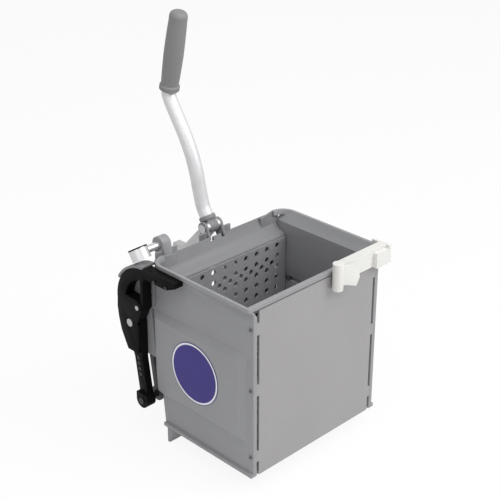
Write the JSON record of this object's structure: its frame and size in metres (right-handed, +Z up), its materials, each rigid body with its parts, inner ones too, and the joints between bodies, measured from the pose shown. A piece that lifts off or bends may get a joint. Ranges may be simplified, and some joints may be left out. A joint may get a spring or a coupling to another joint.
{
  "type": "side press mop wringer",
  "caption": "Side press mop wringer: an open tub with a sliding perforated plate driven by a bent hand lever, with a swinging side hook, a rim clip and locating foot rails.",
  "frame": {"origin": "middle of the rear foot rail's underside, on the tub's middle plane", "axes": "+X along the front panel to its right, seen from the front; +Y from the front panel to the back; +Z up"},
  "size_m": [0.3323, 0.3822, 0.696],
  "materials": {
    "tub_plastic": "grey moulded structural plastic, fine grain",
    "panel_metal": "grey coated sheet",
    "bright_steel": "bright plated tube",
    "fixing_steel": "zinc plated",
    "plate_steel": "zinc plated plate",
    "dark_steel": "blackened",
    "black_plastic": "black moulded, satin",
    "dark_plastic": "dark grey moulded",
    "grip_rubber": "soft grey grip",
    "white_plastic": "white moulded",
    "label_film": "blank printed film"
  },
  "bodies": {
    "frame": {"tub_body": "tub_plastic", "front_panel": "panel_metal", "panel_screws": "fixing_steel", "rear_hood": "tub_plastic", "hood_screws": "fixing_steel", "cheek_left": "tub_plastic", "cheek_right": "tub_plastic", "cheek_screws": "fixing_steel", "lever_pivot_pin": "fixing_steel", "side_lug": "tub_plastic", "lug_screws": "fixing_steel", "handle_socket": "bright_steel", "socket_stub": "bright_steel", "socket_ring": "black_plastic", "arch_guard": "tub_plastic", "guard_screws": "fixing_steel", "side_bracket": "black_plastic", "bracket_bolt": "fixing_steel", "bracket_rivets": "dark_steel", "hook_pivot_bolt": "fixing_steel", "rear_cover": "tub_plastic", "cover_screws": "fixing_steel", "handle_clip": "white_plastic", "label_disc": "label_film"},
    "lever": {"lever_tube": "bright_steel", "lever_grip": "grip_rubber", "lever_hub": "tub_plastic", "drive_arm_left": "plate_steel", "drive_arm_right": "plate_steel", "arm_lock_pin": "dark_steel", "drive_pin": "fixing_steel", "drive_sleeve": "dark_steel"},
    "press": {"press_plate": "panel_metal", "drive_tongue": "plate_steel", "tongue_screws": "fixing_steel", "shoe_upper_left": "dark_plastic", "shoe_upper_right": "dark_plastic", "shoe_lower_left": "dark_plastic", "shoe_lower_right": "dark_plastic", "shoe_screws": "fixing_steel"},
    "hook": {"hook_arm": "black_plastic", "inner_strap": "dark_plastic", "strap_rivets": "dark_steel", "hook_cross_bolt": "dark_steel"}
  },
  "joints": [
    {"name": "lever_swing", "type": "hinge", "parent": "frame", "child": "lever", "pos_m": [0, 0.0425, 0.343], "axis": [-1, 0, 0], "range_deg": [0, 55]},
    {"name": "press_slide", "type": "slide", "parent": "frame", "child": "press", "axis": [0, -1, 0], "range_m": [0, 0.09465]},
    {"name": "hook_swing", "type": "hinge", "parent": "frame", "child": "hook", "pos_m": [0, 0.0563, 0.2197], "axis": [1, 0, 0], "range_deg": [0, 50]}
  ],
  "couplings": [
    {"joint": "press_slide", "follows": "lever_swing", "m_per_rad": 0.0986}
  ]
}
